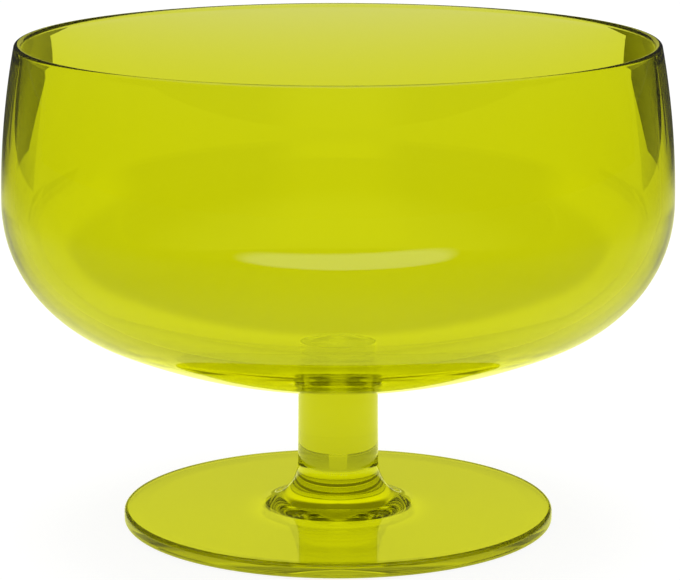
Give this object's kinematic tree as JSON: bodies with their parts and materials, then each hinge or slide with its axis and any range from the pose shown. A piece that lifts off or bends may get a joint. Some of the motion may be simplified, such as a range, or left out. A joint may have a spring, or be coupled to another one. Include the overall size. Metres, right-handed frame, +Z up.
{
  "type": "footed ice cream bowl",
  "caption": "Round clear-plastic dessert bowl with a full belly and drawn-in rim, bonded to a short solid stem that flares into a wide flat foot.",
  "frame": {"origin": "middle of the foot's underside, on the axis of the bowl, in the plane that it stands on", "axes": "+Z up along the axis of the bowl; X and Y are alike, because the bowl is round"},
  "size_m": [0.115, 0.115, 0.0839],
  "materials": {
    "lime_acrylic": "clear, polished, dyed lime all through"
  },
  "bodies": {
    "root": {"bowl": "lime_acrylic", "pedestal": "lime_acrylic"}
  },
  "joints": []
}
